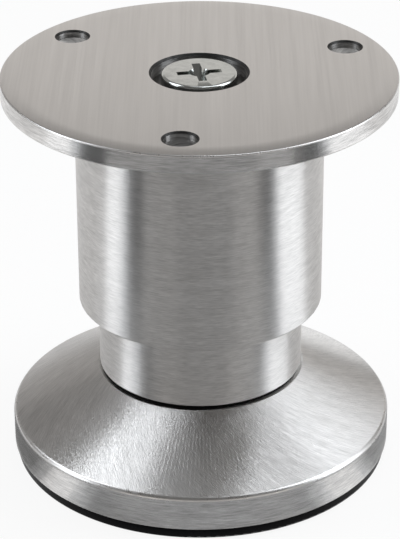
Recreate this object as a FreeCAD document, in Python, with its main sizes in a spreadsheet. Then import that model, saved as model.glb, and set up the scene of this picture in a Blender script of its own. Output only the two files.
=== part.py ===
"""Adjustable cabinet leg: a screw-on plate, a sleeve, a tube that turns in and out of it, and a swivel foot.

The leg stands on z = 0 with its axis on +Z, and one fixing hole of the plate lies on -Y.  Millimetres.
"""
import FreeCAD, Part
import Sketcher
import math
import os

from FreeCAD import Vector

# Driving dimensions
SIZES = {
    # Stack of levels from the floor up, at the height shown
    "glide_edge_height": 1.9,
    "rim_height": 5.7,
    "cone_height": 7.1,
    "thrust_washer_thickness": 0.5,
    "exposed_length": 11.4,
    "sleeve_length": 34.5,
    "plate_thickness": 3.0,
    # Mounting plate
    "plate_diameter": 60.0,
    "plate_edge_chamfer": 0.25,
    "fixing_count": 3,
    "fixing_edge_distance": 5.5,
    "fixing_hole_diameter": 4.9,
    "fixing_hole_chamfer": 0.3,
    "fixing_hole_land": 1.2,
    "fixing_sink_angle": 90.0,
    "screw_recess_diameter": 14.5,
    "screw_recess_depth": 2.0,
    "screw_recess_chamfer": 0.35,
    "plate_bore_diameter": 6.4,
    # Plate screw, its thread drawn at the pitch diameter
    "screw_head_diameter": 11.6,
    "screw_head_height": 1.9,
    "screw_head_rounding": 0.3,
    "screw_thread_diameter": 5.35,
    "screw_length": 12.0,
    "screw_point_chamfer": 0.8,
    "cross_span": 6.8,
    "cross_width": 1.3,
    "cross_floor_span": 2.6,
    "cross_floor_width": 0.9,
    "cross_depth": 2.8,
    "cross_turn": 16.0,
    # Sleeve, tube and the guide bush between them
    "tube_diameter": 32.0,
    "tube_wall": 1.5,
    "tube_end_chamfer": 0.3,
    "guide_clearance": 0.1,
    "guide_wall": 0.9,
    "guide_length": 8.0,
    "guide_inset": 1.0,
    "sleeve_wall": 2.0,
    "sleeve_end_chamfer": 0.3,
    # Spindle drive, its thread drawn at the pitch diameter
    "spindle_diameter": 10.86,
    "spindle_end_chamfer": 1.0,
    "spindle_top_gap": 0.3,
    "spindle_end_clearance": 1.8,
    "tapping_run_out": 1.5,
    "sleeve_plug_thickness": 6.0,
    "tube_nut_thickness": 8.0,
    "tube_nut_inset": 0.5,
    "tube_plug_thickness": 6.0,
    "retract_travel": 10.0,
    "retract_clearance": 0.5,
    # Foot cover and glide
    "foot_diameter": 60.0,
    "cover_wall": 1.2,
    "land_margin": 0.3,
    "land_rounding": 0.3,
    "rim_rounding": 0.5,
    "glide_setback": 0.4,
    "glide_edge_rounding": 0.5,
    "glide_floor": 3.0,
    "skirt_clearance": 0.1,
    "skirt_wall": 2.0,
    "skirt_height": 3.5,
    "hub_wall": 5.0,
    "rib_count": 8,
    "rib_thickness": 1.6,
    "rib_drop": 0.8,
    "rib_root": 0.5,
    # Foot pivot, its thread drawn at the pitch diameter
    "thrust_washer_setback": 0.3,
    "pivot_thread_diameter": 7.2,
    "pivot_thread_relief": 0.5,
    "pivot_point_chamfer": 0.6,
    "shoulder_diameter": 9.0,
    "pivot_head_diameter": 13.0,
    "pivot_head_height": 4.0,
    "pivot_head_rounding": 0.4,
    "socket_across_flats": 5.0,
    "socket_depth": 2.5,
    "pivot_washer_diameter": 18.0,
    "pivot_washer_thickness": 1.2,
    "pivot_recess_depth": 7.0,
    "pivot_recess_clearance": 0.5,
    "pivot_play": 0.1,
    # Fits
    "running_clearance": 0.1,
    "thread_clearance": 0.05,
    "press_clearance": 0.02,
}

doc = FreeCAD.newDocument("cabinet_leg")


def make_sheet():
    """Spreadsheet with one named cell for each driving dimension."""
    sheet = doc.addObject("Spreadsheet::Sheet", "Size")
    for row, (alias, number) in enumerate(SIZES.items(), start=1):
        sheet.set(f"A{row}", alias)
        sheet.set(f"B{row}", str(number))
        sheet.setAlias(f"B{row}", alias)
    doc.recompute()
    return sheet


size_sheet = make_sheet()

# Levels that several pieces share
FOOT_TOP = "(Size.glide_edge_height + Size.rim_height + Size.cone_height)"
TUBE_BOTTOM = f"({FOOT_TOP} + Size.thrust_washer_thickness)"
SLEEVE_BOTTOM = f"({TUBE_BOTTOM} + Size.exposed_length)"
PLATE_BOTTOM = f"({SLEEVE_BOTTOM} + Size.sleeve_length)"
PLATE_TOP = f"({PLATE_BOTTOM} + Size.plate_thickness)"
HUB_TOP = f"({FOOT_TOP} - Size.cover_wall)"
PIVOT_SEAT = "(Size.pivot_recess_depth - Size.pivot_play)"
PIVOT_HEAD_TOP = f"({PIVOT_SEAT} - Size.pivot_washer_thickness)"

# Lengths that follow from the travel
STOP_DEPTH = "(Size.sleeve_plug_thickness + Size.retract_travel + Size.retract_clearance)"
TUBE_LENGTH = f"(Size.exposed_length + Size.sleeve_length - {STOP_DEPTH})"
SPINDLE_END = f"({TUBE_BOTTOM} + Size.tube_plug_thickness + Size.retract_travel + Size.spindle_end_clearance)"
SPINDLE_LENGTH = f"({PLATE_BOTTOM} - Size.spindle_top_gap - {SPINDLE_END})"
SCREW_REACH = "(Size.screw_length - Size.plate_thickness + Size.screw_recess_depth - Size.spindle_top_gap)"

# Radii that several pieces share
TUBE_RADIUS = "(Size.tube_diameter / 2)"
TUBE_BORE = f"({TUBE_RADIUS} - Size.tube_wall)"
SLEEVE_BORE = f"({TUBE_RADIUS} + Size.guide_clearance + Size.guide_wall)"
SLEEVE_RADIUS = f"({SLEEVE_BORE} + Size.sleeve_wall)"
FOOT_RADIUS = "(Size.foot_diameter / 2)"
LAND_RADIUS = f"({TUBE_RADIUS} + Size.land_margin)"
PIVOT_BORE = "(Size.shoulder_diameter / 2 + Size.running_clearance)"


def value(expression):
    """Number that an expression on the sheet stands for."""
    return float(size_sheet.evalExpression(expression))


def origin_feature(body, role):
    """Plane or axis of a body's own origin."""
    return next(feature for feature in body.Origin.OriginFeatures if feature.Role == role)


def make_body(label, level):
    """Body whose own zero level lies at a given height."""
    body = doc.addObject("PartDesign::Body", label)
    body.setExpression("Placement.Base.z", level)
    return body


def make_sketch(body, name, role, level=None):
    """Sketch on one of the body's origin planes, raised to a level where one is given."""
    sketch = body.newObject("Sketcher::SketchObject", name)
    sketch.AttachmentSupport = [(origin_feature(body, role), "")]
    sketch.MapMode = "FlatFace"
    if level is not None:
        sketch.setExpression("AttachmentOffset.Base.z", level)
    return sketch


def bind_point(sketch, geometry, point, corner, name):
    """Hold a sketch point at two expressions, measured from the sketch origin.

    A sketch numbers its own axes -1 (across) and -2 (upright), and point 1 of the first is the origin.
    """
    for kind, expression, zero_line in (("DistanceX", corner[0], -2), ("DistanceY", corner[1], -1)):
        if expression == "0":
            sketch.addConstraint(Sketcher.Constraint("PointOnObject", geometry, point, zero_line))
            continue
        distance = Sketcher.Constraint(kind, -1, 1, geometry, point, value(expression))
        index = sketch.addConstraint(distance)
        sketch.renameConstraint(index, f"{name}_{kind}")
        sketch.setExpression(f"Constraints.{name}_{kind}", expression)


def round_corner(corner, before, after, radius):
    """Arc that rounds a corner: its two tangent points, the arc, and whether it is drawn in path order."""
    to_before = (before - corner).normalize()
    to_after = (after - corner).normalize()
    half_angle = to_before.getAngle(to_after) / 2
    reach = radius / math.tan(half_angle)
    tangent_in = corner + to_before * reach
    tangent_out = corner + to_after * reach
    centre = corner + (to_before + to_after).normalize() * (radius / math.sin(half_angle))
    in_order = (corner - before).cross(after - corner).z > 0
    ends = (tangent_in, tangent_out) if in_order else (tangent_out, tangent_in)
    angles = [math.atan2(end.y - centre.y, end.x - centre.x) for end in ends]
    arc = Part.ArcOfCircle(Part.Circle(centre, Vector(0, 0, 1), radius), *angles)
    return tangent_in, tangent_out, arc, in_order


def draw_outline(sketch, corners):
    """Closed outline through corners given as expressions: across, up and, where rounded, a radius."""
    count = len(corners)
    points = [Vector(value(corner[0]), value(corner[1]), 0) for corner in corners]
    arrive, leave, arcs = list(points), list(points), {}
    for i, corner in enumerate(corners):
        if len(corner) == 3:
            before, after = points[i - 1], points[(i + 1) % count]
            arrive[i], leave[i], arc, in_order = round_corner(points[i], before, after, value(corner[2]))
            arcs[i] = (arc, in_order)
    for i in range(count):
        sketch.addGeometry(Part.LineSegment(leave[i], arrive[(i + 1) % count]), False)
    for i, corner in enumerate(corners):
        line_in, line_out = (i - 1) % count, i
        if i not in arcs:
            sketch.addConstraint(Sketcher.Constraint("Coincident", line_in, 2, line_out, 1))
            bind_point(sketch, line_out, 1, corner, f"corner{i}")
            continue
        arc, in_order = arcs[i]
        arc_index = sketch.addGeometry(arc, False)
        point_index = sketch.addGeometry(Part.Point(points[i]), True)
        first, last = (1, 2) if in_order else (2, 1)
        sketch.addConstraint(Sketcher.Constraint("Tangent", line_in, 2, arc_index, first))
        sketch.addConstraint(Sketcher.Constraint("Tangent", arc_index, last, line_out, 1))
        sketch.addConstraint(Sketcher.Constraint("PointOnObject", point_index, 1, line_in))
        sketch.addConstraint(Sketcher.Constraint("PointOnObject", point_index, 1, line_out))
        radius_index = sketch.addConstraint(Sketcher.Constraint("Radius", arc_index, value(corner[2])))
        sketch.renameConstraint(radius_index, f"corner{i}_radius")
        sketch.setExpression(f"Constraints.corner{i}_radius", corner[2])
        bind_point(sketch, point_index, 1, corner, f"corner{i}")


def turned_body(label, level, corners):
    """Body turned about its upright axis from an outline of radii and heights."""
    body = make_body(label, level)
    outline = make_sketch(body, f"{label}_outline", "XZ_Plane")
    draw_outline(outline, corners)
    turned = body.newObject("PartDesign::Revolution", f"{label}_turned")
    turned.Profile = outline
    turned.ReferenceAxis = (outline, ["V_Axis"])
    turned.Angle = 360
    doc.recompute()
    return body


def ring_body(label, level, bore, radius, thickness):
    """Plain ring with square edges."""
    return turned_body(label, level, [(bore, "0"), (radius, "0"), (radius, thickness), (bore, thickness)])


def chamfered_pipe(label, level, bore, radius, length, chamfer):
    """Pipe with both of its ends chamfered outside and inside."""
    top_edge = f"{length} - {chamfer}"
    return turned_body(label, level, [
        (f"{bore} + {chamfer}", "0"),
        (f"{radius} - {chamfer}", "0"),
        (radius, chamfer),
        (radius, top_edge),
        (f"{radius} - {chamfer}", length),
        (f"{bore} + {chamfer}", length),
        (bore, top_edge),
        (bore, chamfer),
    ])


def repeat_round(body, feature, name, count):
    """Repeat a feature evenly round the body's upright axis."""
    pattern = body.newObject("PartDesign::PolarPattern", name)
    pattern.Originals = [feature]
    pattern.Axis = (origin_feature(body, "Z_Axis"), [""])
    pattern.Angle = 360
    pattern.setExpression("Occurrences", count)
    body.Tip = pattern
    doc.recompute()


def make_mounting_plate():
    """Round plate with a stepped middle hole and three screw holes countersunk from below."""
    rim, chamfer, top = "Size.plate_diameter / 2", "Size.plate_edge_chamfer", "Size.plate_thickness"
    recess, bore = "Size.screw_recess_diameter / 2", "Size.plate_bore_diameter / 2"
    recess_floor = f"{top} - Size.screw_recess_depth"
    body = turned_body("mounting_plate", PLATE_BOTTOM, [
        (bore, "0"),
        (f"{rim} - {chamfer}", "0"),
        (rim, chamfer),
        (rim, f"{top} - {chamfer}"),
        (f"{rim} - {chamfer}", top),
        (f"{recess} + Size.screw_recess_chamfer", top),
        (recess, f"{top} - Size.screw_recess_chamfer"),
        (recess, recess_floor),
        (bore, recess_floor),
    ])
    circle_radius = "Size.plate_diameter / 2 - Size.fixing_edge_distance"
    centre = make_sketch(body, "fixing_hole_centre", "XY_Plane")
    centre.MapReversed = True
    hole_radius = value("Size.fixing_hole_diameter / 2")
    centre.addGeometry(Part.Circle(Vector(0, -value(circle_radius), 0), Vector(0, 0, 1), hole_radius), False)
    bind_point(centre, 0, 3, ("0", f"-({circle_radius})"), "hole")
    centre.addConstraint(Sketcher.Constraint("Radius", 0, hole_radius))
    doc.recompute()
    hole = body.newObject("PartDesign::Hole", "fixing_hole")
    hole.Profile = centre
    hole.DepthType = "ThroughAll"
    hole.HoleCutType = "Countersink"
    hole.setExpression("Diameter", "Size.fixing_hole_diameter")
    sink_reach = "(Size.plate_thickness - Size.fixing_hole_land) * tan(Size.fixing_sink_angle * 1deg / 2)"
    hole.setExpression("HoleCutDiameter", f"Size.fixing_hole_diameter + 2 * {sink_reach}")
    hole.setExpression("HoleCutCountersinkAngle", "Size.fixing_sink_angle")
    doc.recompute()
    repeat_round(body, hole, "fixing_holes", "Size.fixing_count")
    mouth = body.newObject("PartDesign::SubtractiveCone", "fixing_mouth")
    mouth.AttachmentSupport = [(origin_feature(body, "XY_Plane"), "")]
    mouth.MapMode = "FlatFace"
    mouth.setExpression("AttachmentOffset.Base.y", f"-({circle_radius})")
    mouth.setExpression("AttachmentOffset.Base.z", f"{top} - Size.fixing_hole_chamfer")
    mouth.setExpression("Radius1", "Size.fixing_hole_diameter / 2")
    mouth.setExpression("Radius2", "Size.fixing_hole_diameter / 2 + Size.fixing_hole_chamfer")
    mouth.setExpression("Height", "Size.fixing_hole_chamfer")
    doc.recompute()
    repeat_round(body, mouth, "fixing_mouths", "Size.fixing_count")
    return body


def draw_cross(sketch, span, width):
    """Cross outline of four equal arms."""
    reach, half = f"({span} / 2)", f"({width} / 2)"
    quarter = [(reach, half), (half, half), (half, reach)]
    corners = []
    for across, up in quarter:
        corners.append((across, up))
    for across, up in reversed(quarter):
        corners.append((f"-{across}", up))
    for across, up in quarter:
        corners.append((f"-{across}", f"-{up}"))
    for across, up in reversed(quarter):
        corners.append((across, f"-{up}"))
    draw_outline(sketch, corners)


def make_plate_screw():
    """Machine screw with a low round-edged head and a tapered cross recess."""
    head, shank = "Size.screw_head_diameter / 2", "Size.screw_thread_diameter / 2"
    top, tip = "Size.screw_head_height", "-Size.screw_length"
    body = turned_body("plate_screw", f"{PLATE_TOP} - Size.screw_recess_depth", [
        ("0", tip),
        (f"{shank} - Size.screw_point_chamfer", tip),
        (shank, f"{tip} + Size.screw_point_chamfer"),
        (shank, "0"),
        (head, "0"),
        (head, top, "Size.screw_head_rounding"),
        ("0", top),
    ])
    body.setExpression("Placement.Rotation.Angle", "Size.cross_turn * 1deg")
    mouth = make_sketch(body, "cross_mouth", "XY_Plane", top)
    draw_cross(mouth, "Size.cross_span", "Size.cross_width")
    floor = make_sketch(body, "cross_floor", "XY_Plane", f"{top} - Size.cross_depth")
    draw_cross(floor, "Size.cross_floor_span", "Size.cross_floor_width")
    recess = body.newObject("PartDesign::SubtractiveLoft", "cross_recess")
    recess.Profile = mouth
    recess.Sections = [floor]
    recess.Ruled = True
    doc.recompute()
    return body


def make_upper_sleeve():
    """Wide tube under the plate."""
    return chamfered_pipe("upper_sleeve", SLEEVE_BOTTOM, SLEEVE_BORE, SLEEVE_RADIUS,
                          "Size.sleeve_length", "Size.sleeve_end_chamfer")


def make_sleeve_plug():
    """Plug in the top of the sleeve that holds the spindle."""
    return ring_body("sleeve_plug", f"{PLATE_BOTTOM} - Size.sleeve_plug_thickness",
                     "Size.spindle_diameter / 2 + Size.press_clearance",
                     f"{SLEEVE_BORE} - Size.press_clearance", "Size.sleeve_plug_thickness")


def make_spindle():
    """Fixed threaded rod, tapped at its top for the plate screw."""
    rod, chamfer = "Size.spindle_diameter / 2", "Size.spindle_end_chamfer"
    tapping = "Size.screw_thread_diameter / 2 + Size.press_clearance"
    tapping_floor = f"{SPINDLE_LENGTH} - {SCREW_REACH} - Size.tapping_run_out"
    return turned_body("spindle", SPINDLE_END, [
        ("0", "0"),
        (f"{rod} - {chamfer}", "0"),
        (rod, chamfer),
        (rod, f"{SPINDLE_LENGTH} - {chamfer}"),
        (f"{rod} - {chamfer}", SPINDLE_LENGTH),
        (tapping, SPINDLE_LENGTH),
        (tapping, tapping_floor),
        ("0", tapping_floor),
    ])


def make_guide_bush():
    """Plastic ring in the mouth of the sleeve that guides the tube."""
    return ring_body("guide_bush", f"{SLEEVE_BOTTOM} + Size.guide_inset",
                     f"{TUBE_RADIUS} + Size.guide_clearance",
                     f"{SLEEVE_BORE} - Size.press_clearance", "Size.guide_length")


def make_lower_tube():
    """Narrow tube that slides in the sleeve."""
    return chamfered_pipe("lower_tube", TUBE_BOTTOM, TUBE_BORE, TUBE_RADIUS, TUBE_LENGTH, "Size.tube_end_chamfer")


def make_tube_nut():
    """Threaded insert in the top of the tube that climbs the spindle."""
    level = f"{TUBE_BOTTOM} + {TUBE_LENGTH} - Size.tube_nut_inset - Size.tube_nut_thickness"
    return ring_body("tube_nut", level, "Size.spindle_diameter / 2 + Size.thread_clearance",
                     f"{TUBE_BORE} - Size.press_clearance", "Size.tube_nut_thickness")


def make_tube_plug():
    """Plug in the bottom of the tube, tapped for the pivot screw."""
    return ring_body("tube_plug", TUBE_BOTTOM, "Size.pivot_thread_diameter / 2 + Size.press_clearance",
                     f"{TUBE_BORE} - Size.press_clearance", "Size.tube_plug_thickness")


def make_thrust_washer():
    """Thin ring on which the tube turns over the foot."""
    return ring_body("thrust_washer", FOOT_TOP, PIVOT_BORE,
                     f"{TUBE_RADIUS} - Size.thrust_washer_setback", "Size.thrust_washer_thickness")


def make_pivot_screw():
    """Shoulder screw with a hexagon socket, driven up into the tube plug."""
    head, shoulder = "Size.pivot_head_diameter / 2", "Size.shoulder_diameter / 2"
    thread, chamfer = "Size.pivot_thread_diameter / 2", "Size.pivot_point_chamfer"
    head_top = "Size.pivot_head_height"
    shoulder_top = f"({head_top} + {TUBE_BOTTOM} - {PIVOT_HEAD_TOP})"
    point = f"({shoulder_top} + Size.tube_plug_thickness - Size.pivot_thread_relief)"
    body = turned_body("pivot_screw", f"{PIVOT_HEAD_TOP} - {head_top}", [
        ("0", "0"),
        (head, "0", "Size.pivot_head_rounding"),
        (head, head_top),
        (shoulder, head_top),
        (shoulder, shoulder_top),
        (thread, shoulder_top),
        (thread, f"{point} - {chamfer}"),
        (f"{thread} - {chamfer}", point),
        ("0", point),
    ])
    corner, flat = "(Size.socket_across_flats / sqrt(3))", "(Size.socket_across_flats / 2)"
    socket = make_sketch(body, "socket_outline", "XY_Plane")
    draw_outline(socket, [
        (corner, "0"),
        (f"{corner} / 2", flat),
        (f"-{corner} / 2", flat),
        (f"-{corner}", "0"),
        (f"-{corner} / 2", f"-{flat}"),
        (f"{corner} / 2", f"-{flat}"),
    ])
    pocket = body.newObject("PartDesign::Pocket", "socket")
    pocket.Profile = socket
    pocket.Reversed = True
    pocket.setExpression("Length", "Size.socket_depth")
    doc.recompute()
    return body


def make_pivot_washer():
    """Washer between the pivot screw's head and the glide."""
    return ring_body("pivot_washer", PIVOT_HEAD_TOP, PIVOT_BORE,
                     "Size.pivot_washer_diameter / 2", "Size.pivot_washer_thickness")


def make_base_cover():
    """Spun foot cover: a flat land under the tube, a cone and an upright rim, of one wall thickness."""
    wall, rim_top = "Size.cover_wall", "Size.rim_height"
    top = "(Size.rim_height + Size.cone_height)"
    slope = f"(Size.cone_height / ({FOOT_RADIUS} - {LAND_RADIUS}))"
    slant = f"sqrt(1 + {slope} ^ 2)"
    return turned_body("base_cover", "Size.glide_edge_height", [
        (f"{FOOT_RADIUS} - {wall}", "0"),
        (FOOT_RADIUS, "0"),
        (FOOT_RADIUS, rim_top, "Size.rim_rounding"),
        (LAND_RADIUS, top, "Size.land_rounding"),
        (PIVOT_BORE, top),
        (PIVOT_BORE, f"{top} - {wall}"),
        (f"{LAND_RADIUS} - {wall} * ({slant} - 1) / {slope}", f"{top} - {wall}"),
        (f"{FOOT_RADIUS} - {wall}", f"{rim_top} + {wall} * ({slope} - {slant})"),
    ])


def make_base_glide():
    """Black moulded sole with a skirt, a hub under the land, ribs between them and a recess for the pivot."""
    edge, setback_radius = "Size.glide_edge_height", f"({FOOT_RADIUS} - Size.glide_setback)"
    skirt = f"({FOOT_RADIUS} - Size.cover_wall - Size.skirt_clearance)"
    skirt_bore, skirt_top = f"({skirt} - Size.skirt_wall)", f"({edge} + Size.skirt_height)"
    recess = "(Size.pivot_washer_diameter / 2 + Size.pivot_recess_clearance)"
    hub = f"({recess} + Size.hub_wall)"
    body = turned_body("base_glide", "0", [
        (recess, "0"),
        (setback_radius, "0", "Size.glide_edge_rounding"),
        (setback_radius, edge),
        (skirt, edge),
        (skirt, skirt_top),
        (skirt_bore, skirt_top),
        (skirt_bore, "Size.glide_floor"),
        (hub, "Size.glide_floor"),
        (hub, HUB_TOP),
        (PIVOT_BORE, HUB_TOP),
        (PIVOT_BORE, "Size.pivot_recess_depth"),
        (recess, "Size.pivot_recess_depth"),
    ])
    root_in, root_out = f"{hub} - Size.rib_root", f"{skirt_bore} + Size.rib_root"
    rib_outline = make_sketch(body, "rib_outline", "XZ_Plane")
    draw_outline(rib_outline, [
        (root_in, "Size.glide_floor - Size.rib_root"),
        (root_out, "Size.glide_floor - Size.rib_root"),
        (root_out, f"{skirt_top} - Size.rib_drop"),
        (root_in, f"{HUB_TOP} - Size.rib_drop"),
    ])
    rib = body.newObject("PartDesign::Pad", "rib")
    rib.Profile = rib_outline
    rib.SideType = "Symmetric"
    rib.setExpression("Length", "Size.rib_thickness")
    doc.recompute()
    repeat_round(body, rib, "ribs", "Size.rib_count")
    return body


def check_and_export(bodies):
    """Stop on any failed object or bad shape, then write one STEP file for each piece."""
    doc.recompute()
    failed = [item.Name for item in doc.Objects if {"Invalid", "Error"} & set(item.State)]
    if failed:
        raise RuntimeError(f"objects that failed: {failed}")
    for body in bodies:
        if body.Shape.isNull() or not body.Shape.isValid() or len(body.Shape.Solids) != 1:
            raise RuntimeError(f"bad shape: {body.Label}")
    os.makedirs("parts", exist_ok=True)
    for body in bodies:
        body.Shape.exportStep(f"parts/{body.Label}.step")


check_and_export([
    make_mounting_plate(),
    make_plate_screw(),
    make_upper_sleeve(),
    make_sleeve_plug(),
    make_spindle(),
    make_guide_bush(),
    make_lower_tube(),
    make_tube_nut(),
    make_tube_plug(),
    make_thrust_washer(),
    make_pivot_screw(),
    make_pivot_washer(),
    make_base_cover(),
    make_base_glide(),
])
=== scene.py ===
"""Studio picture of an adjustable cabinet leg.  Lengths are in metres."""
import bmesh
import bpy
import math
from mathutils import Matrix, Quaternion, Vector


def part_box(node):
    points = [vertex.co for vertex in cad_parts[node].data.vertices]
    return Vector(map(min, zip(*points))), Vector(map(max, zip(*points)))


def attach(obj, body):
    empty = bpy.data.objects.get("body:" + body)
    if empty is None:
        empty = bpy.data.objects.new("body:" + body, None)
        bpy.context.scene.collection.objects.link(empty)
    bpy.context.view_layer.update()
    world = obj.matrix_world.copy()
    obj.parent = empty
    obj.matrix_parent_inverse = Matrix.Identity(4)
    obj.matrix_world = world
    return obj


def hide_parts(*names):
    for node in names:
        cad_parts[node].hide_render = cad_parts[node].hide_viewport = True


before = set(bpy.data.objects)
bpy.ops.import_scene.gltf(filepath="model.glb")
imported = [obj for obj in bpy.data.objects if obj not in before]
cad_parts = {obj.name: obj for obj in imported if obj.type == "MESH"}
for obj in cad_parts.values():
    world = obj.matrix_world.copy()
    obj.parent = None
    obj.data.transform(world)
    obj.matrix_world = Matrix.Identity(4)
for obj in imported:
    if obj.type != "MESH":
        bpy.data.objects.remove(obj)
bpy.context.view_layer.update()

MM = 0.001
MERGE_DISTANCE = 0.001 * MM
SEGMENTS, SCREW_SEGMENTS, FIXING_SEGMENTS, HUB_SEGMENTS = 256, 128, 96, 48

# Sizes that the node boxes don't give
PLATE_EDGE = 0.25 * MM
ROLL_REACH, ROLL_DROP, ROLL_ROUNDING = 1.6 * MM, 0.12 * MM, 35 * MM
RECESS_RADIUS, RECESS_DEPTH, RECESS_EDGE = 7.25 * MM, 2.0 * MM, 0.35 * MM
PLATE_BORE = 3.2 * MM
FIXING_COUNT = 3
FIXING_CIRCLE, FIXING_RADIUS, FIXING_LAND, FIXING_EDGE = 24.5 * MM, 2.45 * MM, 1.2 * MM, 0.3 * MM
HEAD_DROP, HEAD_ROUNDING = 0.02 * MM, 0.45 * MM
SHANK_RADIUS, SHANK_ROUNDING = 2.675 * MM, 0.6 * MM
CROSS_SPAN, CROSS_WIDTH, CROSS_DEPTH = 6.8 * MM, 1.3 * MM, 2.8 * MM
CROSS_FLOOR_SPAN, CROSS_FLOOR_WIDTH = 2.6 * MM, 0.9 * MM
CROSS_TURN = math.radians(16)
HUB_RADIUS = 1.7 * MM
SLEEVE_WALL, TUBE_WALL, COVER_WALL = 2.0 * MM, 1.5 * MM, 1.2 * MM
END_EDGE = 0.3 * MM
COVER_BORE, COVER_EDGE = 4.6 * MM, 0.15 * MM
LAND_MARGIN, LAND_ROUNDING = 0.3 * MM, 0.3 * MM
RIM_HEIGHT, RIM_ROUNDING = 5.3 * MM, 0.9 * MM

# Hub of the cross: its waist as a share of its radius, and depths as shares of the cross's depth
HUB_WAIST, HUB_WAIST_DEPTH, HUB_TIP_DEPTH = 0.5, 0.9, 1.15

# How far cutters stand out of what they cut
FIXING_OVER, CROSS_OVER = 0.5 * MM, 0.3 * MM

# Directions of the brush strokes
PLATE_STROKE = Vector((math.sin(math.radians(6)), -math.cos(math.radians(6))))
STROKE_SPIRAL, SPIRAL_RADIUS = math.radians(34), 22 * MM
MAP_UNIT = 10 * MM

# Tests that sort the faces; a face's rise is 0 where it is upright and 1 where it is level
UPRIGHT_RISE, MOUTH_RISE, CONE_RISE, LEVEL_RISE = 0.05, 0.5, 0.87, 0.95
SPIRAL_STROKE_RISE, ROUND_STROKE_RISE, STRAIGHT_STROKE_RISE = 0.6, 0.7, 0.9
RIM_MARGIN, FACE_MARGIN = 0.3 * MM, 0.1 * MM


def in_mm(*lengths):
    """Lengths given in millimetres."""
    return [length * MM for length in lengths]


# Mesh making

def round_outline(corners, steps=5):
    """Outline points from corners (radius, height, rounding), each rounded corner drawn as an arc."""
    points = []
    for i, (across, up, rounding) in enumerate(corners):
        corner = Vector((across, up))
        if rounding == 0:
            points.append(corner)
            continue
        to_before = (Vector(corners[i - 1][:2]) - corner).normalized()
        to_after = (Vector(corners[(i + 1) % len(corners)][:2]) - corner).normalized()
        half = to_before.angle(to_after) / 2
        start = corner + to_before * (rounding / math.tan(half))
        centre = corner + (to_before + to_after).normalized() * (rounding / math.sin(half))
        sweep = math.pi - 2 * half
        turn = 1 if to_before.cross(to_after) < 0 else -1
        for step in range(steps + 1):
            spin = Matrix.Rotation(turn * sweep * step / steps, 2)
            points.append(centre + spin @ (start - centre))
    return points


def turn_mesh(name, corners, segments=SEGMENTS):
    """Mesh turned about Z from a closed outline whose corners run anticlockwise in (radius, height)."""
    outline = round_outline(corners)
    count = len(outline)
    vertices = []
    for segment in range(segments):
        angle = 2 * math.pi * segment / segments
        for point in outline:
            vertices.append((point.x * math.cos(angle), point.x * math.sin(angle), point.y))
    faces = []
    for segment in range(segments):
        here, there = segment * count, (segment + 1) % segments * count
        for i in range(count):
            after = (i + 1) % count
            faces.append((here + i, there + i, there + after, here + after))
    mesh = bpy.data.meshes.new(name)
    mesh.from_pydata(vertices, [], faces)
    shell = bmesh.new()
    shell.from_mesh(mesh)
    bmesh.ops.remove_doubles(shell, verts=shell.verts, dist=MERGE_DISTANCE)
    bmesh.ops.dissolve_degenerate(shell, edges=shell.edges, dist=MERGE_DISTANCE)
    bare_edges = [edge for edge in shell.edges if not edge.link_faces]
    bmesh.ops.delete(shell, geom=bare_edges, context="EDGES")
    bmesh.ops.recalc_face_normals(shell, faces=shell.faces)
    shell.to_mesh(mesh)
    shell.free()
    return mesh


def new_object(mesh):
    """Object of a mesh, linked to the scene."""
    piece = bpy.data.objects.new(mesh.name, mesh)
    bpy.context.scene.collection.objects.link(piece)
    return piece


def cut_away(piece, cutters):
    """Cut solids out of a piece, and drop the cutters."""
    for cutter in cutters:
        modifier = piece.modifiers.new(cutter.name, "BOOLEAN")
        modifier.operation = "DIFFERENCE"
        modifier.solver = "MANIFOLD"
        modifier.object = cutter
    graph = bpy.context.evaluated_depsgraph_get()
    cut_mesh = bpy.data.meshes.new_from_object(piece.evaluated_get(graph))
    cut_mesh.materials.clear()
    piece.modifiers.clear()
    whole_mesh = piece.data
    name = whole_mesh.name
    piece.data = cut_mesh
    bpy.data.meshes.remove(whole_mesh)
    cut_mesh.name = name
    for cutter in cutters:
        bpy.data.meshes.remove(cutter.data)


def smooth(piece, sharp_degrees=24):
    """Shade smooth, with flat faces kept flat and edges sharp where faces meet at more than an angle."""
    mesh = piece.data
    mesh.polygons.foreach_set("use_smooth", [True] * len(mesh.polygons))
    mesh.set_sharp_from_angle(angle=math.radians(sharp_degrees))
    even = piece.modifiers.new("even_normals", "WEIGHTED_NORMAL")
    even.keep_sharp = True


# Brush strokes: a map whose first axis runs across the strokes, and a space in which the strokes are drawn

def round_strokes(point, angle, normal):
    """Strokes that run round the leg."""
    across = point.z if abs(normal.z) < ROUND_STROKE_RISE else point.xy.length
    return across, point.xy.length * angle, (point.x, point.y, across)


def straight_strokes(point, angle, normal):
    """Strokes that run straight from front to back."""
    along, across = point.xy.dot(PLATE_STROKE), point.xy.cross(PLATE_STROKE)
    return across, along, (along, point.z, across)


def spiral_strokes(point, angle, normal):
    """Strokes that run outwards, slanted from the radius by a fixed angle."""
    stretch = math.log(max(point.xy.length, MM) / SPIRAL_RADIUS)
    across = SPIRAL_RADIUS * (angle * math.cos(STROKE_SPIRAL) - stretch * math.sin(STROKE_SPIRAL))
    along = SPIRAL_RADIUS * (angle * math.sin(STROKE_SPIRAL) + stretch * math.cos(STROKE_SPIRAL))
    return across, along, (along, 0, across)


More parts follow.
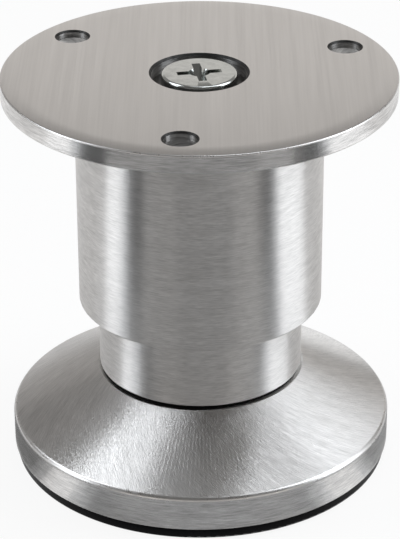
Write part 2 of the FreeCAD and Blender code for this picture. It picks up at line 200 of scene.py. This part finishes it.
def map_strokes(mesh, rule_for):
    """Write the stroke map and the stroke space, by the rule that each face calls for."""
    mesh.uv_layers.new(name="brush")
    mesh.attributes.new("strokes", "FLOAT_VECTOR", "CORNER")
    brush = mesh.uv_layers["brush"]
    strokes = mesh.attributes["strokes"]
    for face in mesh.polygons:
        rule = rule_for(face)
        middle = math.atan2(face.center.x, -face.center.y)
        for loop_index in face.loop_indices:
            point = mesh.vertices[mesh.loops[loop_index].vertex_index].co
            turn = math.atan2(point.x, -point.y) - middle
            angle = middle + (turn + math.pi) % (2 * math.pi) - math.pi
            across, along, space = rule(point, angle, face.normal)
            brush.data[loop_index].uv = (across / MAP_UNIT, along / MAP_UNIT)
            strokes.data[loop_index].vector = space


# Materials

STEEL = Vector((0.612, 0.6, 0.588))

# Bands lie over the strokes: their share of the marks, and how finely they run along and across
BAND_SHARE, BAND_ALONG, BAND_ACROSS = 0.3, 0.3, 0.15
STROKE_ROUGHNESS = 0.04

# Clouds on plating, by the metre, and what their dark and light parts do to colour and roughness
CLOUD_SCALE = 900
CLOUD_DARK, CLOUD_LIGHT, CLOUD_ROUGH, CLOUD_SMOOTH = 0.93, 1.05, 1.25, 0.8

# Specks on plastic, by the metre, in the same way
SPECK_SCALE = 2500
SPECK_DARK, SPECK_LIGHT, SPECK_ROUGHNESS = 0.8, 1.25, 0.06


def new_material(name):
    """Material with its shader and node tree to hand."""
    material = bpy.data.materials.new(name)
    material.use_nodes = True
    tree = material.node_tree
    shader = tree.nodes["Principled BSDF"]
    return material, tree, shader


def add_node(tree, kind, settings=(), inputs=()):
    """Node with its settings and unlinked input values set."""
    node = tree.nodes.new(kind)
    for key, setting in dict(settings).items():
        setattr(node, key, setting)
    for key, number in dict(inputs).items():
        node.inputs[key].default_value = number
    return node


def noise_fac(tree, vector, scale, stretch=(1, 1, 1), detail=2.0):
    """Noise drawn in a stretched space."""
    mapping = add_node(tree, "ShaderNodeMapping", inputs={"Scale": stretch})
    tree.links.new(vector, mapping.inputs["Vector"])
    noise = add_node(tree, "ShaderNodeTexNoise",
                     inputs={"Scale": scale, "Detail": detail, "Roughness": 0.6})
    tree.links.new(mapping.outputs["Vector"], noise.inputs["Vector"])
    return noise.outputs["Fac"]


def spread(tree, fac, low, high, from_low=0.3, from_high=0.7):
    """Noise stretched to a range."""
    node = add_node(tree, "ShaderNodeMapRange",
                    inputs={"From Min": from_low, "From Max": from_high, "To Min": low, "To Max": high})
    tree.links.new(fac, node.inputs["Value"])
    return node.outputs["Result"]


def tint(tree, fac, dark, light):
    """Colour between two, by a factor."""
    node = add_node(tree, "ShaderNodeMix", {"data_type": "RGBA"})
    node.inputs["A"].default_value = (*dark, 1)
    node.inputs["B"].default_value = (*light, 1)
    tree.links.new(fac, node.inputs["Factor"])
    return node.outputs["Result"]


def bumped(tree, height, depth, under=None):
    """Normal tilted by the slopes of a height, over an earlier tilt where one is given."""
    node = add_node(tree, "ShaderNodeBump", inputs={"Strength": 1, "Distance": depth})
    tree.links.new(height, node.inputs["Height"])
    if under:
        tree.links.new(under, node.inputs["Normal"])
    return node.outputs["Normal"]


def brushed_steel(name, roughness, contrast, strokes, grain, colour=STEEL):
    """Satin stainless steel; its strokes and its finer grain are each a width, a length and a depth."""
    material, tree, shader = new_material(name)
    space = add_node(tree, "ShaderNodeAttribute", {"attribute_name": "strokes"}).outputs["Vector"]
    width, length, stroke_depth = strokes
    grain_width, grain_length, grain_depth = grain
    lines = noise_fac(tree, space, 1, (1 / length, 1 / length, 1 / width), 3)
    bands = noise_fac(tree, space, 1, (BAND_ALONG / length, BAND_ALONG / length, BAND_ACROSS / width))
    specks = noise_fac(tree, space, 1, (1 / grain_length, 1 / grain_length, 1 / grain_width))
    mixed = add_node(tree, "ShaderNodeMix", {"data_type": "FLOAT"}, {"Factor": BAND_SHARE})
    tree.links.new(lines, mixed.inputs["A"])
    tree.links.new(bands, mixed.inputs["B"])
    marks = mixed.outputs["Result"]
    shade = spread(tree, marks, 0, 1)
    marked_colour = tint(tree, shade, colour * (1 - contrast), colour * (1 + contrast))
    tree.links.new(marked_colour, shader.inputs["Base Color"])
    marked_roughness = spread(tree, marks, roughness + STROKE_ROUGHNESS, roughness - STROKE_ROUGHNESS)
    tree.links.new(marked_roughness, shader.inputs["Roughness"])
    shader.inputs["Metallic"].default_value = 1
    shader.inputs["Anisotropic"].default_value = 1
    tangent = add_node(tree, "ShaderNodeTangent", {"direction_type": "UV_MAP", "uv_map": "brush"})
    tree.links.new(tangent.outputs["Tangent"], shader.inputs["Tangent"])
    tilted = bumped(tree, lines, stroke_depth)
    tree.links.new(bumped(tree, specks, grain_depth, tilted), shader.inputs["Normal"])
    return material


def plated_steel(name, colour, roughness):
    """Plated steel with faint cloudy marks."""
    material, tree, shader = new_material(name)
    space = add_node(tree, "ShaderNodeTexCoord").outputs["Object"]
    cloud = noise_fac(tree, space, CLOUD_SCALE, detail=4)
    shade = spread(tree, cloud, 0, 1)
    colour = Vector(colour)
    clouded_colour = tint(tree, shade, colour * CLOUD_DARK, colour * CLOUD_LIGHT)
    tree.links.new(clouded_colour, shader.inputs["Base Color"])
    clouded_roughness = spread(tree, cloud, roughness * CLOUD_ROUGH, roughness * CLOUD_SMOOTH)
    tree.links.new(clouded_roughness, shader.inputs["Roughness"])
    shader.inputs["Metallic"].default_value = 1
    return material


def moulded_plastic(name, colour, roughness, gloss, grain):
    """Black moulded plastic with a fine grain."""
    material, tree, shader = new_material(name)
    space = add_node(tree, "ShaderNodeTexCoord").outputs["Object"]
    speck = noise_fac(tree, space, SPECK_SCALE, detail=3)
    shade = spread(tree, speck, 0, 1)
    colour = Vector(colour)
    specked_colour = tint(tree, shade, colour * SPECK_DARK, colour * SPECK_LIGHT)
    tree.links.new(specked_colour, shader.inputs["Base Color"])
    specked_roughness = spread(tree, speck, roughness + SPECK_ROUGHNESS, roughness - SPECK_ROUGHNESS)
    tree.links.new(specked_roughness, shader.inputs["Roughness"])
    tree.links.new(bumped(tree, speck, grain), shader.inputs["Normal"])
    shader.inputs["Specular IOR Level"].default_value = gloss
    return material


def matte(name, grey):
    """Grey without any gloss."""
    material, tree, shader = new_material(name)
    shader.inputs["Base Color"].default_value = (grey, grey, grey, 1)
    shader.inputs["Roughness"].default_value = 1
    shader.inputs["Specular IOR Level"].default_value = 0
    return material, tree, shader


round_steel = brushed_steel("round_brushed_steel", roughness=0.36, contrast=0.22,
                            strokes=in_mm(0.12, 1.6, 0.005), grain=in_mm(0.11, 0.4, 0.009))
rim_steel = brushed_steel("rim_brushed_steel", roughness=0.24, contrast=0.35,
                          strokes=in_mm(0.16, 2.5, 0.005), grain=in_mm(0.12, 0.5, 0.01))
plate_steel = brushed_steel("straight_brushed_steel", roughness=0.36, contrast=0.03,
                            strokes=in_mm(0.3, 25, 0.001), grain=in_mm(0.2, 0.6, 0.002))
cone_steel = brushed_steel("spiral_brushed_steel", roughness=0.31, contrast=0.22,
                           strokes=in_mm(0.17, 2.5, 0.02), grain=in_mm(0.12, 0.8, 0.05))
bright_plating = plated_steel("bright_plating", (0.54, 0.555, 0.54), roughness=0.14)
edge_steel = plated_steel("edge_steel", STEEL, roughness=0.3)
# Steel darkened almost to black on the mouths of the screw holes and the recess: painted shade.
shaded_mouth_steel = plated_steel("shaded_mouth_steel", STEEL * 0.06, roughness=0.45)
# Steel at half the colour of the rest, for the recess floor and the walls inside the holes and the recess:
# the darkness is painted shade, the strong streaks are cutting marks.
shaded_recess_steel = brushed_steel("shaded_recess_steel", roughness=0.4, contrast=0.7,
                          strokes=in_mm(0.3, 3, 0.01), grain=in_mm(0.12, 0.5, 0.01), colour=STEEL * 0.5)
zinc_plating = plated_steel("zinc_plating", (0.6, 0.61, 0.63), roughness=0.28)
black_sole = moulded_plastic("black_sole", (0.002, 0.002, 0.0025),
                             roughness=0.3, gloss=0.06, grain=0.003 * MM)
black_bush = moulded_plastic("black_bush", (0.002, 0.002, 0.002),
                             roughness=0.5, gloss=0.05, grain=0.006 * MM)


# Pieces

def dress(mesh_object, node, body, materials):
    """Stand a shaped piece in for a node of the frame."""
    smooth(mesh_object)
    for material in materials:
        mesh_object.data.materials.append(material)
    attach(mesh_object, body)
    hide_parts(node)


def fixing_cutters(bottom, top):
    """Round cutters for the plate's screw holes, countersunk below and chamfered at the mouth."""
    sink_depth = top - bottom - FIXING_LAND
    cutters = []
    for i in range(FIXING_COUNT):
        angle = -math.pi / 2 + 2 * math.pi * i / FIXING_COUNT
        cutter = new_object(turn_mesh(f"fixing_cutter_{i}", [
            (0, bottom - FIXING_OVER, 0),
            (FIXING_RADIUS + sink_depth + FIXING_OVER, bottom - FIXING_OVER, 0),
            (FIXING_RADIUS, bottom + sink_depth, 0),
            (FIXING_RADIUS, top - FIXING_EDGE, 0),
            (FIXING_RADIUS + FIXING_EDGE + FIXING_OVER, top + FIXING_OVER, 0),
            (0, top + FIXING_OVER, 0),
        ], FIXING_SEGMENTS))
        centre = Vector((FIXING_CIRCLE * math.cos(angle), FIXING_CIRCLE * math.sin(angle), 0))
        cutter.data.transform(Matrix.Translation(centre))
        cutters.append(cutter)
    return cutters


def plate_stroke_rule(face):
    """Straight strokes on the plate's faces, round ones on its edges."""
    return straight_strokes if abs(face.normal.z) > STRAIGHT_STROKE_RISE else round_strokes


def make_plate():
    """Round plate with a stepped middle hole and countersunk screw holes."""
    low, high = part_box("mounting_plate")
    radius, top = high.x, high.z
    recess_floor, recess_mouth = top - RECESS_DEPTH, RECESS_RADIUS + RECESS_EDGE
    plate = new_object(turn_mesh("plate", [
        (PLATE_BORE, low.z, 0),
        (radius, low.z, PLATE_EDGE),
        (radius, top - ROLL_DROP, PLATE_EDGE),
        (radius - ROLL_REACH, top, ROLL_ROUNDING),
        (recess_mouth, top, 0),
        (RECESS_RADIUS, top - RECESS_EDGE, 0),
        (RECESS_RADIUS, recess_floor, 0),
        (PLATE_BORE, recess_floor, 0),
    ]))
    cut_away(plate, fixing_cutters(low.z, top))
    map_strokes(plate.data, plate_stroke_rule)
    materials = [plate_steel, rim_steel, shaded_recess_steel, edge_steel, shaded_mouth_steel]
    # The recess floor and the walls inside the holes and the recess take half-dark steel, and the mouths
    # near-black steel: painted shade.
    for face in plate.data.polygons:
        rise = abs(face.normal.z)
        is_rim = face.center.xy.length > radius - RIM_MARGIN
        in_recess = low.z + FACE_MARGIN < face.center.z < top - FACE_MARGIN
        if rise > LEVEL_RISE:
            material = shaded_recess_steel if in_recess and not is_rim else plate_steel
        elif is_rim:
            material = rim_steel if rise < UPRIGHT_RISE else edge_steel
        else:
            material = shaded_mouth_steel if face.normal.z > MOUTH_RISE else shaded_recess_steel
        face.material_index = materials.index(material)
    dress(plate, "mounting_plate", "mounting_head", materials)


def cross_cutters(top):
    """Two tapered arms and a conical middle, for a screw's recess."""
    taper = (CROSS_SPAN - CROSS_FLOOR_SPAN) / CROSS_DEPTH
    cutters = [new_object(turn_mesh("hub_cutter", [
        (0, top - CROSS_DEPTH * HUB_TIP_DEPTH, 0),
        (HUB_RADIUS * HUB_WAIST, top - CROSS_DEPTH * HUB_WAIST_DEPTH, 0),
        (HUB_RADIUS, top + CROSS_OVER, 0),
        (0, top + CROSS_OVER, 0),
    ], HUB_SEGMENTS))]
    for turn in (0, math.pi / 2):
        shell = bmesh.new()
        bmesh.ops.create_cube(shell, size=1)
        for vertex in shell.verts:
            is_top = vertex.co.z > 0
            span = CROSS_SPAN + taper * CROSS_OVER if is_top else CROSS_FLOOR_SPAN
            width = CROSS_WIDTH if is_top else CROSS_FLOOR_WIDTH
            height = top + CROSS_OVER if is_top else top - CROSS_DEPTH
            along = math.copysign(span / 2, vertex.co.x)
            across = math.copysign(width / 2, vertex.co.y)
            vertex.co = (along, across, height)
        bmesh.ops.rotate(shell, verts=shell.verts, matrix=Matrix.Rotation(turn + CROSS_TURN, 3, "Z"))
        mesh = bpy.data.meshes.new("arm_cutter")
        shell.to_mesh(mesh)
        shell.free()
        cutters.append(new_object(mesh))
    return cutters


def make_plate_screw():
    """Low round-edged screw head with a cross recess, on a plain shank."""
    low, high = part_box("plate_screw")
    plate_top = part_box("mounting_plate")[1].z
    head_bottom, head_top = plate_top - RECESS_DEPTH, plate_top - HEAD_DROP
    screw = new_object(turn_mesh("screw", [
        (0, low.z, 0),
        (SHANK_RADIUS, low.z, SHANK_ROUNDING),
        (SHANK_RADIUS, head_bottom, 0),
        (high.x, head_bottom, 0),
        (high.x, head_top, HEAD_ROUNDING),
        (0, head_top, 0),
    ], SCREW_SEGMENTS))
    cut_away(screw, cross_cutters(head_top))
    dress(screw, "plate_screw", "mounting_head", [bright_plating])


def make_pipe(name, node, wall, body):
    """Brushed tube with eased ends."""
    low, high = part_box(node)
    bore = high.x - wall
    pipe = new_object(turn_mesh(name, [
        (bore, low.z, END_EDGE),
        (high.x, low.z, END_EDGE),
        (high.x, high.z, END_EDGE),
        (bore, high.z, END_EDGE),
    ]))
    map_strokes(pipe.data, lambda face: round_strokes)
    dress(pipe, node, body, [round_steel])


def cover_stroke_rule(face):
    """Spiral strokes on the cone and the land, round ones on the rim."""
    return spiral_strokes if face.normal.z > SPIRAL_STROKE_RISE else round_strokes


def make_cover():
    """Spun foot cover with a land, a cone and an upright rim."""
    low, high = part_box("base_cover")
    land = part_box("lower_tube")[1].x + LAND_MARGIN
    rim_top = low.z + RIM_HEIGHT
    slope = (high.z - rim_top) / (high.x - land)
    slant = math.sqrt(1 + slope ** 2)
    cover = new_object(turn_mesh("cover", [
        (high.x - COVER_WALL, low.z, 0),
        (high.x, low.z, COVER_EDGE),
        (high.x, rim_top, RIM_ROUNDING),
        (land, high.z, LAND_ROUNDING),
        (COVER_BORE, high.z, 0),
        (COVER_BORE, high.z - COVER_WALL, 0),
        (land - COVER_WALL * (slant - 1) / slope, high.z - COVER_WALL, 0),
        (high.x - COVER_WALL, rim_top + COVER_WALL * (slope - slant), 0),
    ]))
    map_strokes(cover.data, cover_stroke_rule)
    materials = [cone_steel, rim_steel, edge_steel]
    for face in cover.data.polygons:
        if face.normal.z > CONE_RISE:
            material = cone_steel
        elif face.normal.z < UPRIGHT_RISE:
            material = rim_steel
        else:
            material = edge_steel
        face.material_index = materials.index(material)
    dress(cover, "base_cover", "foot", materials)


make_plate()
make_plate_screw()
make_pipe("sleeve", "upper_sleeve", SLEEVE_WALL, "mounting_head")
make_pipe("tube", "lower_tube", TUBE_WALL, "lower_leg")
make_cover()

NODE_MATERIALS = {
    "sleeve_plug": zinc_plating,
    "spindle": zinc_plating,
    "tube_nut": zinc_plating,
    "tube_plug": zinc_plating,
    "pivot_screw": zinc_plating,
    "pivot_washer": zinc_plating,
    "guide_bush": black_bush,
    "thrust_washer": black_bush,
    "base_glide": black_sole,
}
for node, material in NODE_MATERIALS.items():
    for material_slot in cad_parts[node].material_slots:
        material_slot.material = material


# Floor, light and camera

CAMERA_TURN, CAMERA_PITCH, CAMERA_ROLL = 6.42, 27.42, -0.256
CAMERA_DISTANCE, CAMERA_LENS = 0.3741, 159.48
CAMERA_AIM = Vector((-0.03, -0.003, 30.669)) * MM
CLIP_NEAR, CLIP_FAR = 0.01, 20
FLOOR_REACH, FLOOR_GAP = 3, 0.05 * MM
FLOOR_GREY, FLOOR_GLOW = 0.93, 0.9
CARD_TURN, CARD_HEIGHT, CARD_FAR = 4, 0.2 * MM, 1
FOOT_NEAR, FOOT_FAR = 31 * MM, 46 * MM
FADE_STEPS, FADE_TURN, FADE_GREY = 2, 4, 1.2
FRONT_GREY = 0.42
GAP_NEAR, GAP_GREY, GAP_HEIGHT = 105 * MM, 0.09, 0.4 * MM
LAMP_AIM, LAMP_DISTANCE = Vector((0, 0, 35)) * MM, 0.5
COOL, WARM = (0.955, 1, 1.05), (1.04, 1, 0.96)
ROOM_FRONT, ROOM_BACK = (0.15, 0.146, 0.142), (0.31, 0.3, 0.292)
ROOM_FADE_START, ROOM_FADE_END = -0.2, 0.5


def outward(azimuth, elevation):
    """Direction from the leg; azimuth 0 looks to the camera and 90 to its right."""
    turn, rise = math.radians(azimuth + CAMERA_TURN), math.radians(elevation)
    return Vector((math.sin(turn) * math.cos(rise), -math.cos(turn) * math.cos(rise), math.sin(rise)))


def flat_mesh(name, corners, height, material):
    """Level sheet."""
    mesh = bpy.data.meshes.new(name)
    mesh.from_pydata([(x, y, height) for x, y in corners], [], [tuple(range(len(corners)))])
    mesh.materials.append(material)
    return new_object(mesh)


def make_floor():
    """Pale floor that the camera and the metal see almost white, under the leg's own shadow."""
    material, tree, shader = matte("pale_floor", FLOOR_GREY)
    white = add_node(tree, "ShaderNodeEmission", inputs={"Color": (1, 1, 1, 1), "Strength": 1})
    rays = add_node(tree, "ShaderNodeLightPath")
    seen = rays.outputs["Is Camera Ray"]
    for kind in ("Is Glossy Ray", "Is Transmission Ray"):
        either = add_node(tree, "ShaderNodeMath", {"operation": "MAXIMUM"})
        tree.links.new(seen, either.inputs[0])
        tree.links.new(rays.outputs[kind], either.inputs[1])
        seen = either.outputs[0]
    share = add_node(tree, "ShaderNodeMath", {"operation": "MULTIPLY"}, {1: FLOOR_GLOW})
    tree.links.new(seen, share.inputs[0])
    mix = add_node(tree, "ShaderNodeMixShader")
    tree.links.new(share.outputs[0], mix.inputs["Fac"])
    tree.links.new(shader.outputs["BSDF"], mix.inputs[1])
    tree.links.new(white.outputs["Emission"], mix.inputs[2])
    tree.links.new(mix.outputs["Shader"], tree.nodes["Material Output"].inputs["Surface"])
    far = FLOOR_REACH
    corners = [(-far, -far), (far, -far), (far, far), (-far, far)]
    flat_mesh("floor", corners, -FLOOR_GAP, material)


def floor_card(name, azimuths, near, far, grey, height=CARD_HEIGHT):
    """Card on the floor that only reflections see, where the metal shows the floor darker: painted shade
    on the floor, in the reflections alone.
    """
    first, last = azimuths
    turns = range(first, last + 1, CARD_TURN)
    corners = [outward(turn, 0).xy * near for turn in turns]
    corners += [outward(turn, 0).xy * far for turn in reversed(turns)]
    card = flat_mesh(name, corners, height, matte(name, grey)[0])
    card.visible_camera = False
    card.visible_diffuse = False
    card.visible_shadow = False


def foot_shadow_card(name, azimuths, grey):
    """Card close to the foot: painted shadow of the foot on the floor, seen only in reflections; its ends
    fade to the pale floor.
    """
    first, last = azimuths
    floor_card(name, azimuths, FOOT_NEAR, FOOT_FAR, grey)
    for step in range(1, FADE_STEPS + 1):
        pale = grey + (FADE_GREY - grey) * step / (FADE_STEPS + 1)
        start, end = FADE_TURN * (step - 1), FADE_TURN * step
        floor_card(f"{name}_before_{step}", (first - end, first - start), FOOT_NEAR, FOOT_FAR, pale)
        floor_card(f"{name}_after_{step}", (last + start, last + end), FOOT_NEAR, FOOT_FAR, pale)


def soft_box(name, azimuths, elevations, radiance, colour):
    """Lamp that fills a range of directions, as bright as its radiance wherever it is seen."""
    wide, tall = (math.radians(last - first) for first, last in (azimuths, elevations))
    azimuth, elevation = sum(azimuths) / 2, sum(elevations) / 2
    lamp = bpy.data.lights.new(name, "AREA")
    lamp.shape = "RECTANGLE"
    lamp.size = 2 * LAMP_DISTANCE * math.tan(wide / 2) * math.cos(math.radians(elevation))
    lamp.size_y = 2 * LAMP_DISTANCE * math.tan(tall / 2)
    lamp.energy = radiance * lamp.size * lamp.size_y * math.pi
    lamp.color = colour
    away = outward(azimuth, elevation)
    light = bpy.data.objects.new(name, lamp)
    light.location = LAMP_AIM + away * LAMP_DISTANCE
    light.rotation_euler = away.to_track_quat("Z", "Y").to_euler()
    bpy.context.scene.collection.objects.link(light)


def make_world():
    """Room that is dark towards the camera and pale behind the leg."""
    world = bpy.data.worlds.new("studio")
    world.use_nodes = True
    tree = world.node_tree
    direction = add_node(tree, "ShaderNodeTexCoord").outputs["Generated"]
    depth = add_node(tree, "ShaderNodeVectorMath", {"operation": "DOT_PRODUCT"})
    depth.inputs[1].default_value = outward(180, 0)
    tree.links.new(direction, depth.inputs[0])
    shade = spread(tree, depth.outputs["Value"], 0, 1, ROOM_FADE_START, ROOM_FADE_END)
    colour = tint(tree, shade, ROOM_FRONT, ROOM_BACK)
    tree.links.new(colour, tree.nodes["Background"].inputs["Color"])
    bpy.context.scene.world = world


def make_camera():
    """Camera at the height and distance from which the leg is seen."""
    away = outward(0, CAMERA_PITCH)
    camera = bpy.data.cameras.new("camera")
    camera.lens = CAMERA_LENS
    camera.clip_start, camera.clip_end = CLIP_NEAR, CLIP_FAR
    viewer = bpy.data.objects.new("camera", camera)
    viewer.location = CAMERA_AIM + away * CAMERA_DISTANCE
    roll = Quaternion((0, 0, 1), math.radians(CAMERA_ROLL))
    viewer.rotation_euler = (away.to_track_quat("Z", "Y") @ roll).to_euler()
    bpy.context.scene.collection.objects.link(viewer)
    bpy.context.scene.camera = viewer


make_floor()
# Painted shadow of the foot on the floor round it, seen only in reflections, darkest on the left.
foot_shadow_card("foot_front_shadow_card", (-40, 40), grey=0.52)
foot_shadow_card("foot_left_shadow_card", (-150, -70), grey=0.35)
foot_shadow_card("foot_right_shadow_card", (72, 152), grey=0.5)
# Painted shade on the floor in front and beside the side lamps, seen only in reflections.
floor_card("front_card", (-72, 72), FOOT_FAR, CARD_FAR, FRONT_GREY)
floor_card("left_gap_card", (-66, -50), GAP_NEAR, CARD_FAR, GAP_GREY, GAP_HEIGHT)
floor_card("right_gap_card", (50, 66), GAP_NEAR, CARD_FAR, GAP_GREY, GAP_HEIGHT)
soft_box("left_box", (-90, -66), (-4, 30), radiance=2.8, colour=COOL)
soft_box("left_high_box", (-114, -84), (30, 62), radiance=3.7, colour=COOL)
soft_box("right_box", (70, 104), (-4, 30), radiance=2.8, colour=COOL)
soft_box("right_high_box", (74, 116), (30, 60), radiance=3.5, colour=COOL)
soft_box("right_top_box", (70, 130), (60, 87), radiance=2.8, colour=COOL)
soft_box("top_box", (150, 210), (65, 88), radiance=1.0, colour=COOL)
soft_box("front_box", (-50, 56), (-4, 18), radiance=0.5, colour=WARM)
soft_box("front_left_box", (-50, -20), (-4, 18), radiance=0.3, colour=WARM)
soft_box("front_right_box", (28, 56), (-4, 18), radiance=0.45, colour=WARM)
soft_box("back_box", (136, 214), (5, 29), radiance=0.5, colour=WARM)
make_world()
make_camera()
bpy.context.scene.view_settings.view_transform = "Standard"
